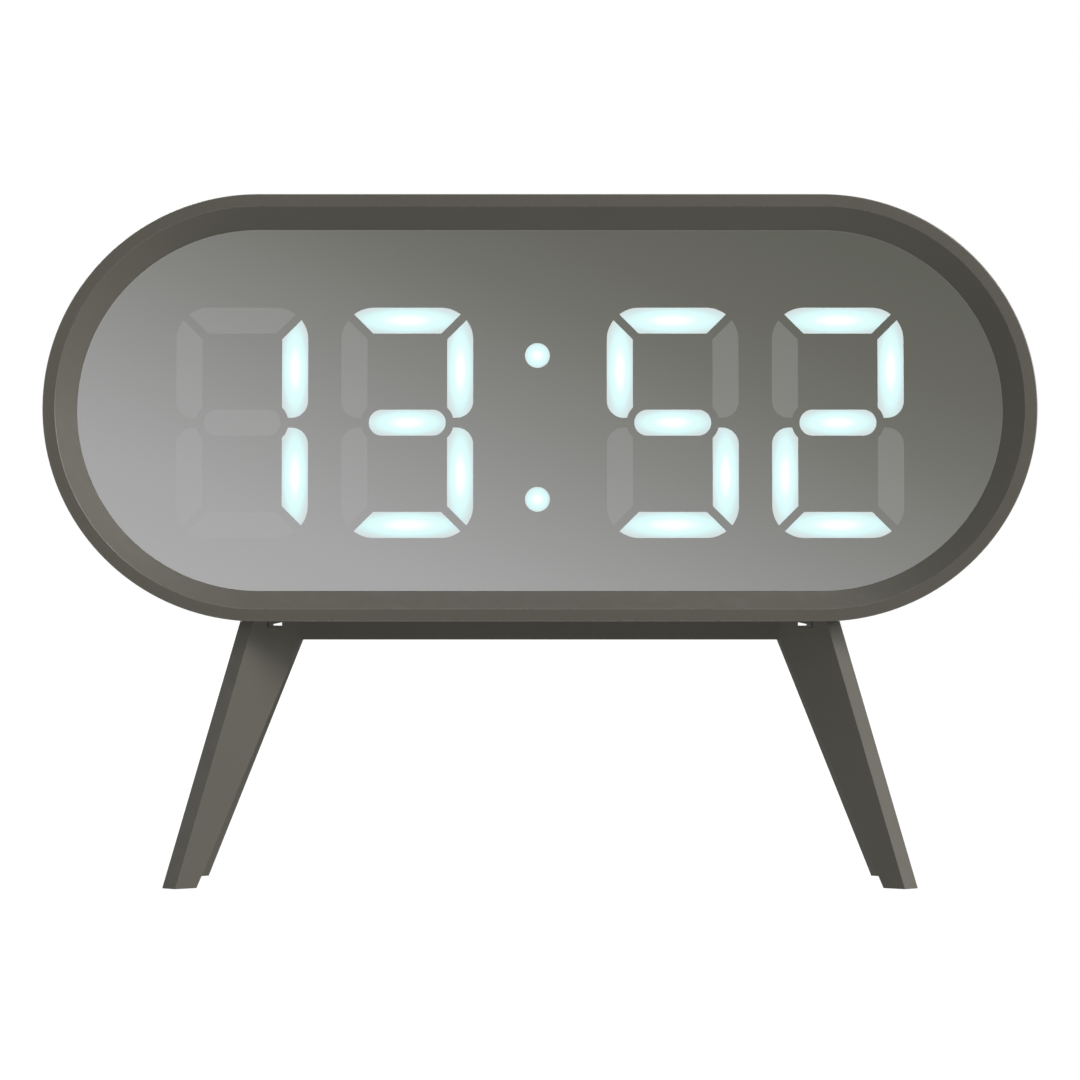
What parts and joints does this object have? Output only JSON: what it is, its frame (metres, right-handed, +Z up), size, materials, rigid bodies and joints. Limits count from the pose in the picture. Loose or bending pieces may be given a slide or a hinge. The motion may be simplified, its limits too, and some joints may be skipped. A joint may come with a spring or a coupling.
{
  "type": "digital desk clock",
  "caption": "Pill-shaped digital desk clock with a recessed half-mirror front, lit digits, a cross bar and splayed plank legs, with keys and a battery door behind.",
  "frame": {"origin": "centre of the footprint on the table plane", "axes": "+Z up, front faces -Y, +X to the right as seen from the front"},
  "size_m": [0.2108, 0.0524, 0.1471],
  "materials": {
    "moss_plastic": "fine matt moulded surface, dark moss grey",
    "mirror_glass": "dark half-silvered mirror that lets the digits shine through",
    "tape_foam": "black foam tape, sticky on both faces",
    "diffuser_film": "milky light-spreading film",
    "white_plastic": "white reflective plastic",
    "board_laminate": "green solder mask",
    "ribbon_plastic": "grey flat cable",
    "black_plastic": "black moulded plastic",
    "bright_steel": "zinc plated steel",
    "key_plastic": "dark satin plastic",
    "cell_wrap": "plain blue printed film over a steel can",
    "pad_rubber": "matt black rubber",
    "red_sleeve": "red insulation",
    "black_sleeve": "black insulation"
  },
  "bodies": {
    "clock": {"battery_cell_1": "cell_wrap", "battery_cell_2": "cell_wrap", "battery_cell_3": "cell_wrap", "battery_lead_black": "black_sleeve", "battery_lead_red": "red_sleeve", "board_screw_1": "bright_steel", "board_screw_2": "bright_steel", "buzzer": "black_plastic", "contact_bridge_left": "bright_steel", "contact_bridge_right": "bright_steel", "contact_negative": "bright_steel", "contact_positive": "bright_steel", "cover_screw_1": "bright_steel", "cover_screw_2": "bright_steel", "cover_screw_3": "bright_steel", "cover_screw_4": "bright_steel", "cover_screw_5": "bright_steel", "cover_screw_6": "bright_steel", "diffuser_sheet": "diffuser_film", "display_board": "board_laminate", "display_cable": "ribbon_plastic", "display_screw_1": "bright_steel", "display_screw_2": "bright_steel", "display_screw_3": "bright_steel", "display_screw_4": "bright_steel", "foot_pad_1": "pad_rubber", "foot_pad_2": "pad_rubber", "foot_pad_3": "pad_rubber", "foot_pad_4": "pad_rubber", "front_housing": "moss_plastic", "key_switch_1": "black_plastic", "key_switch_2": "black_plastic", "key_switch_3": "black_plastic", "key_switch_4": "black_plastic", "leg_stand": "moss_plastic", "lens_tape": "tape_foam", "main_board": "board_laminate", "mirror_panel": "mirror_glass", "power_socket": "bright_steel", "rear_cover": "moss_plastic", "reflector_block": "white_plastic", "slide_switch_body": "bright_steel", "stand_screw_1": "bright_steel", "stand_screw_2": "bright_steel"},
    "key_1": {"key_cap_1": "key_plastic", "switch_plunger_1": "black_plastic"},
    "key_2": {"key_cap_2": "key_plastic", "switch_plunger_2": "black_plastic"},
    "key_3": {"key_cap_3": "key_plastic", "switch_plunger_3": "black_plastic"},
    "key_4": {"key_cap_4": "key_plastic", "switch_plunger_4": "black_plastic"},
    "alarm_slider": {"alarm_slider": "key_plastic", "slide_switch_lever": "black_plastic"},
    "battery_door": {"battery_door": "moss_plastic"}
  },
  "joints": [
    {"name": "key_1_press", "type": "slide", "parent": "clock", "child": "key_1", "axis": [0, -0.9969, 0.0785], "range_m": [0, 0.0006]},
    {"name": "key_2_press", "type": "slide", "parent": "clock", "child": "key_2", "axis": [0, -0.9969, 0.0785], "range_m": [0, 0.0006]},
    {"name": "key_3_press", "type": "slide", "parent": "clock", "child": "key_3", "axis": [0, -0.9969, 0.0785], "range_m": [0, 0.0006]},
    {"name": "key_4_press", "type": "slide", "parent": "clock", "child": "key_4", "axis": [0, -0.9969, 0.0785], "range_m": [0, 0.0006]},
    {"name": "alarm_slider_shift", "type": "slide", "parent": "clock", "child": "alarm_slider", "axis": [1, 0, 0], "range_m": [0, 0.0035]},
    {"name": "battery_door_swing", "type": "hinge", "parent": "clock", "child": "battery_door", "pos_m": [-0.0722, 0.01915, 0.09868], "axis": [0, 0.0785, 0.9969], "range_deg": [0, 80]}
  ]
}
